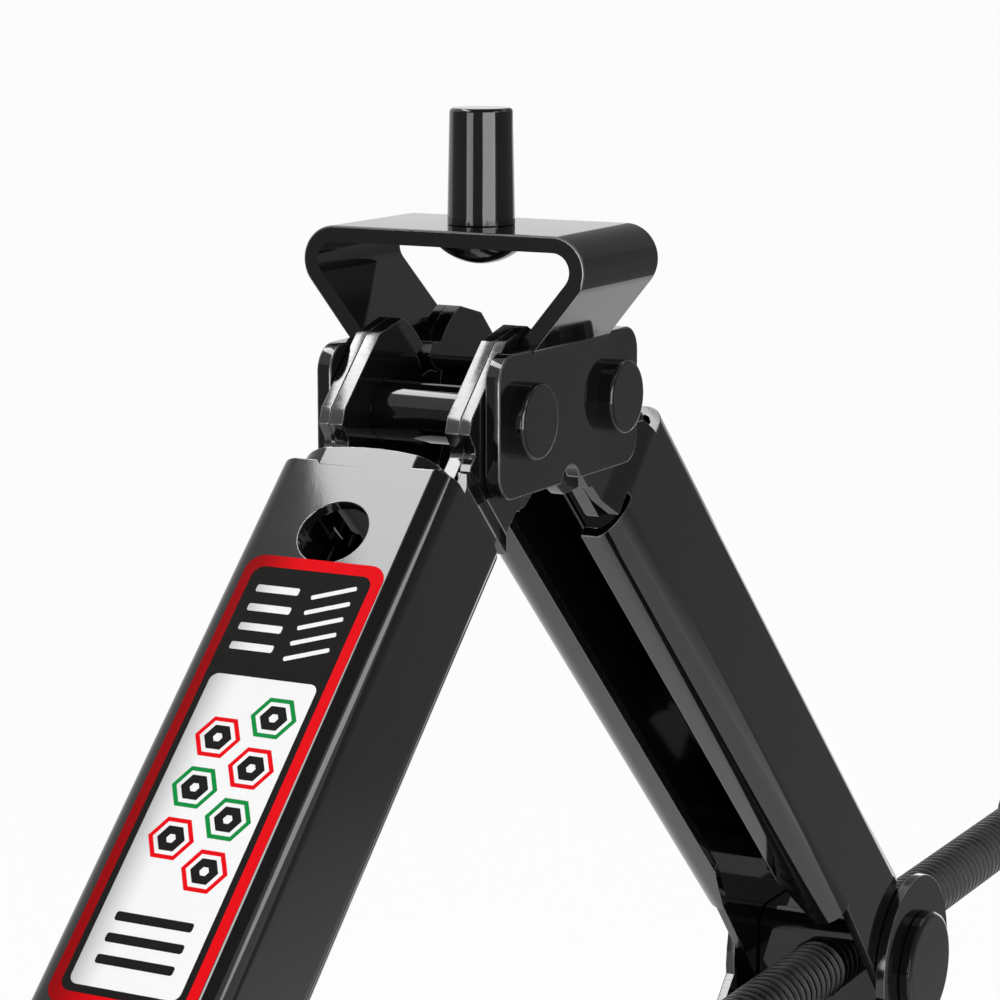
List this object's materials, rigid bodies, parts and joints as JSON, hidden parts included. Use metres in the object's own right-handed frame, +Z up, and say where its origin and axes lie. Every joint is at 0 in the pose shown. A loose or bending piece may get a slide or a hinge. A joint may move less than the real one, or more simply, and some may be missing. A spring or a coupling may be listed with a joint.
{
  "type": "scissor jack",
  "caption": "Screw-driven scissor jack of folded black steel channel arms with geared ears, a bent saddle with a locating pin, trunnions on a lead screw with a crank eye, and a pressed base.",
  "frame": {"origin": "middle of the base's underside, on the ground, midway between the two base pivot pins", "axes": "+X along the lead screw towards its free end, away from the drive eye; +Y across the jack along the pivot pins; +Z up, the way the saddle lifts"},
  "size_m": [0.5869, 0.074, 0.4011],
  "materials": {
    "black_paint": "gloss black paint on pressed sheet steel",
    "pivot_steel": "satin black over turned rivet heads",
    "trunnion_steel": "satin black",
    "screw_steel": "dark oiled rolled thread",
    "bearing_steel": "bright ground steel",
    "eye_steel": "black oxide forging"
  },
  "bodies": {
    "base": {"base_plate": "black_paint", "base_pivot_pins": "pivot_steel"},
    "lower_left": {"lower_arm_left": "black_paint", "lower_gear_plates_left": "black_paint"},
    "lower_right": {"lower_arm_right": "black_paint", "lower_gear_plates_right": "black_paint"},
    "upper_left": {"upper_arm_left": "black_paint", "upper_gear_plates_left": "black_paint"},
    "upper_right": {"upper_arm_right": "black_paint", "upper_gear_plates_right": "black_paint"},
    "saddle": {"saddle_bracket": "black_paint", "locating_pin": "black_paint", "saddle_pivot_pins": "pivot_steel"},
    "trunnion_drive": {"drive_trunnion": "trunnion_steel", "drive_trunnion_caps": "pivot_steel", "thrust_washer_inner": "bearing_steel"},
    "trunnion_nut": {"nut_trunnion": "trunnion_steel", "nut_trunnion_caps": "pivot_steel"},
    "screw": {"lead_screw": "screw_steel", "thrust_washer_outer": "bearing_steel", "thrust_cage": "bearing_steel", "thrust_balls": "bearing_steel", "retaining_collar": "screw_steel", "retaining_collar_pin": "bearing_steel", "drive_eye": "eye_steel", "drive_eye_pin": "bearing_steel", "end_stop_collar": "screw_steel", "end_stop_pin": "bearing_steel"}
  },
  "joints": [
    {"name": "lift", "type": "hinge", "parent": "base", "child": "lower_left", "pos_m": [-0.01775, 0, 0.027], "axis": [0, 1, 0], "range_deg": [-36, 7.5]},
    {"name": "base_pivot_right", "type": "hinge", "parent": "base", "child": "lower_right", "pos_m": [0.01775, 0, 0.027], "axis": [0, 1, 0], "range_deg": [-7.5, 36]},
    {"name": "elbow_left", "type": "hinge", "parent": "lower_left", "child": "upper_left", "pos_m": [-0.1832, 0, 0.18677], "axis": [0, 1, 0], "range_deg": [-15, 72]},
    {"name": "elbow_right", "type": "hinge", "parent": "lower_right", "child": "upper_right", "pos_m": [0.1832, 0, 0.18677], "axis": [0, 1, 0], "range_deg": [-72, 15]},
    {"name": "saddle_pivot", "type": "hinge", "parent": "upper_left", "child": "saddle", "pos_m": [-0.01775, 0, 0.34654], "axis": [0, 1, 0], "range_deg": [-36, 7.5]},
    {"name": "drive_trunnion_pivot", "type": "hinge", "parent": "lower_left", "child": "trunnion_drive", "pos_m": [-0.1832, 0, 0.18677], "axis": [0, 1, 0], "range_deg": [-7.5, 36]},
    {"name": "nut_trunnion_pivot", "type": "hinge", "parent": "lower_right", "child": "trunnion_nut", "pos_m": [0.1832, 0, 0.18677], "axis": [0, 1, 0], "range_deg": [-36, 7.5]},
    {"name": "screw_turn", "type": "hinge", "parent": "trunnion_drive", "child": "screw", "pos_m": [-0.1832, 0, 0.18677], "axis": [1, 0, 0], "continuous": true}
  ],
  "couplings": [
    {"joint": "base_pivot_right", "follows": "lift", "ratio": -1},
    {"joint": "elbow_left", "follows": "lift", "ratio": -2},
    {"joint": "elbow_right", "follows": "lift", "ratio": 2},
    {"joint": "saddle_pivot", "follows": "lift", "ratio": 1},
    {"joint": "drive_trunnion_pivot", "follows": "lift", "ratio": -1},
    {"joint": "nut_trunnion_pivot", "follows": "lift", "ratio": 1}
  ]
}
